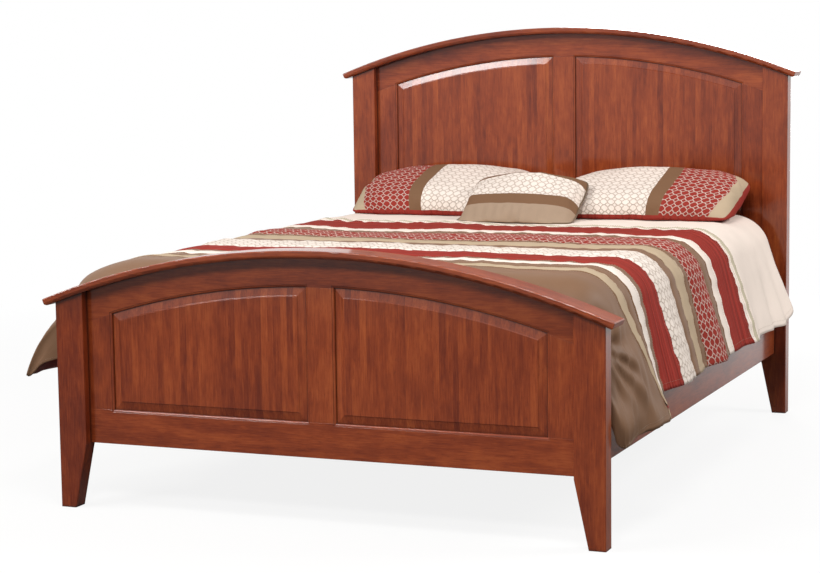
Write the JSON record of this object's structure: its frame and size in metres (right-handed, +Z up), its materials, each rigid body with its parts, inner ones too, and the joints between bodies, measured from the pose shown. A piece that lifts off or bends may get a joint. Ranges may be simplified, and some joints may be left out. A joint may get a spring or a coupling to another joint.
{
  "type": "queen panel bed with bedding",
  "caption": "Queen panel bed in red-brown cherry finish: arched headboard and footboard with raised panels, hook-in side rails, slats, mattress, banded comforter and pillows.",
  "frame": {"origin": "on the floor under the middle of the bed", "axes": "+X across the bed to its right side as seen from the foot, +Y from footboard to headboard, +Z up"},
  "size_m": [1.9186, 2.251, 1.3838],
  "materials": {
    "cherry_finish": "stained red-brown cherry under satin lacquer",
    "slat_wood": "plain sanded hardwood",
    "plated_steel": "zinc plated",
    "brass_insert": "machined",
    "foot_plastic": "moulded nylon pad on a plated stem",
    "ticking": "woven ticking",
    "mattress_knit": "quilted knit",
    "comforter_cloth": "banded sateen, quilted and embroidered",
    "sham_cloth": "pieced and embroidered cotton",
    "accent_cloth": "pieced cotton with piping"
  },
  "bodies": {
    "bed": {"headboard_post_left": "cherry_finish", "headboard_post_right": "cherry_finish", "headboard_cap": "cherry_finish", "headboard_top_rail": "cherry_finish", "headboard_bottom_rail": "cherry_finish", "headboard_stile_left": "cherry_finish", "headboard_stile_right": "cherry_finish", "headboard_mullion": "cherry_finish", "headboard_panel_left": "cherry_finish", "headboard_panel_right": "cherry_finish", "footboard_post_left": "cherry_finish", "footboard_post_right": "cherry_finish", "footboard_cap": "cherry_finish", "footboard_top_rail": "cherry_finish", "footboard_bottom_rail": "cherry_finish", "footboard_stile_left": "cherry_finish", "footboard_stile_right": "cherry_finish", "footboard_mullion": "cherry_finish", "footboard_panel_left": "cherry_finish", "footboard_panel_right": "cherry_finish", "side_rail_left": "cherry_finish", "side_rail_right": "cherry_finish", "slat_cleat_left": "slat_wood", "slat_cleat_right": "slat_wood", "centre_beam": "slat_wood", "cap_dowels": "slat_wood", "slat_01": "slat_wood", "slat_02": "slat_wood", "slat_03": "slat_wood", "slat_04": "slat_wood", "slat_05": "slat_wood", "slat_06": "slat_wood", "slat_07": "slat_wood", "slat_08": "slat_wood", "slat_09": "slat_wood", "slat_10": "slat_wood", "slat_11": "slat_wood", "slat_12": "slat_wood", "centre_leg": "slat_wood", "rail_hook_plates": "plated_steel", "post_slot_plates": "plated_steel", "leg_bolt": "plated_steel", "leg_insert": "brass_insert", "box_spring": "ticking", "mattress": "mattress_knit", "comforter": "comforter_cloth"},
    "levelling_foot": {"levelling_foot": "foot_plastic"},
    "sham_left": {"sham_left": "sham_cloth"},
    "sham_right": {"sham_right": "sham_cloth"},
    "accent_pillow": {"accent_pillow": "accent_cloth"}
  },
  "joints": [
    {"name": "accent_pillow_lift", "type": "slide", "parent": "bed", "child": "accent_pillow", "axis": [0, 0, 1], "range_m": [0, 0.35]},
    {"name": "sham_left_pull", "type": "slide", "parent": "bed", "child": "sham_left", "axis": [-1, 0, 0], "range_m": [0, 0.35]},
    {"name": "sham_right_pull", "type": "slide", "parent": "bed", "child": "sham_right", "axis": [1, 0, 0], "range_m": [0, 0.35]},
    {"name": "levelling_foot_screw", "type": "slide", "parent": "bed", "child": "levelling_foot", "axis": [0, 0, 1], "range_m": [-0.012, 0.01]}
  ]
}
